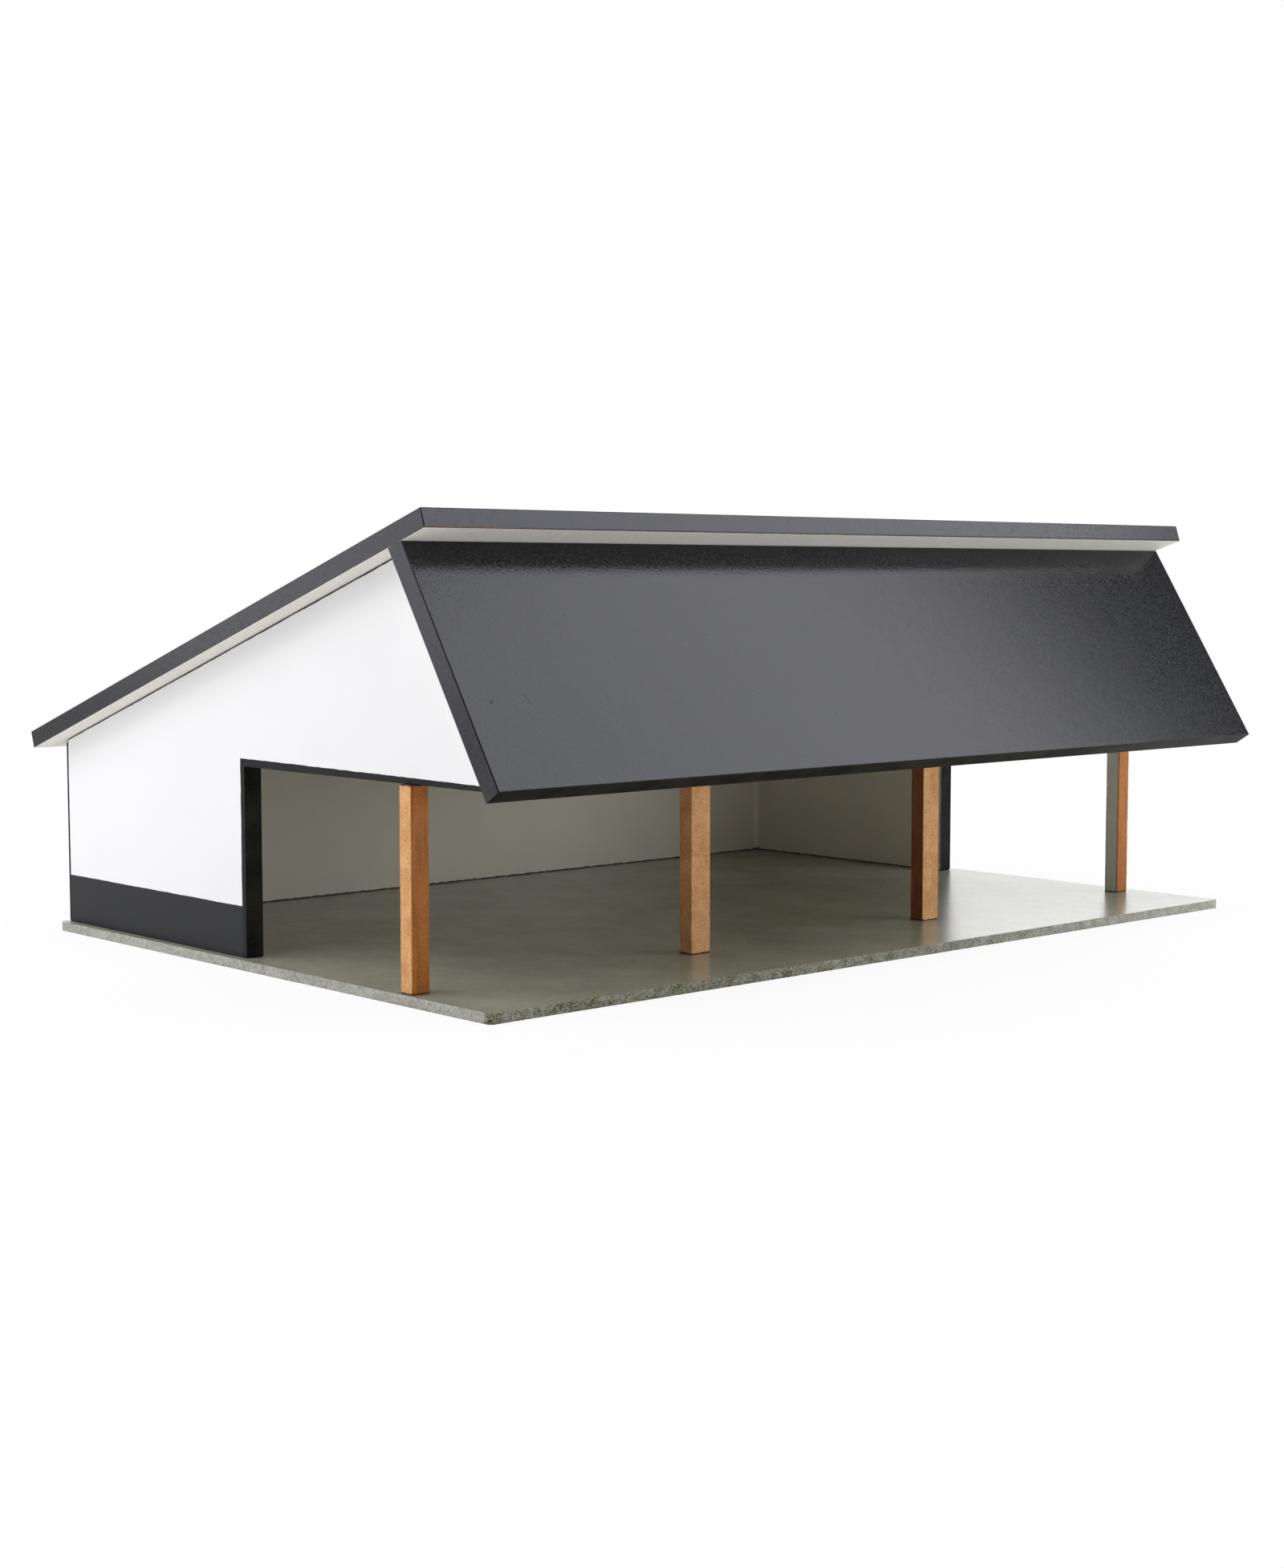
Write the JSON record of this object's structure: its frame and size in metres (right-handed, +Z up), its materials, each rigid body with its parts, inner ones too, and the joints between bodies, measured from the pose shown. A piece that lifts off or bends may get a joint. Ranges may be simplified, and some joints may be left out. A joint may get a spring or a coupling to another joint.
{
  "type": "toy barn",
  "caption": "Open-front toy barn: white walls on a thin base, bare wooden posts along the front, and a black shed roof with a slanted front panel that lifts off for play.",
  "frame": {"origin": "underside of the base board, midway between the side walls and midway front to back", "axes": "+Z up, +X along the barn's length to its right as seen from the front, -Y out of the open front"},
  "size_m": [0.562, 0.4112, 0.2252],
  "materials": {
    "black_paint": "satin black lacquer sprayed on fibreboard",
    "white_paint": "matt white paint on fibreboard, with a painted dark plinth and dark edges",
    "concrete_paint": "smooth grey-green concrete-look face, rough sawn edge",
    "bare_mdf": "bare sawn fibreboard, clear sealed",
    "beech": "turned beech dowel",
    "zinc_steel": "zinc plated"
  },
  "bodies": {
    "barn": {"base_plate": "concrete_paint", "left_wall": "white_paint", "right_wall": "white_paint", "rear_wall": "white_paint", "front_left_post": "bare_mdf", "centre_left_post": "bare_mdf", "centre_right_post": "bare_mdf", "front_right_post": "bare_mdf", "front_beam": "bare_mdf", "wall_screws": "zinc_steel", "post_screws": "zinc_steel", "rear_corner_dowels": "beech", "beam_dowels": "beech", "post_dowels": "beech"},
    "roof_hood": {"roof_board": "black_paint", "front_panel": "black_paint", "ridge_strip": "bare_mdf", "left_locating_strip": "bare_mdf", "right_locating_strip": "bare_mdf", "rear_locating_strip": "bare_mdf"}
  },
  "joints": [
    {"name": "hood_lift", "type": "slide", "parent": "barn", "child": "roof_hood", "axis": [0, 0, 1], "range_m": [0, 0.15]}
  ]
}
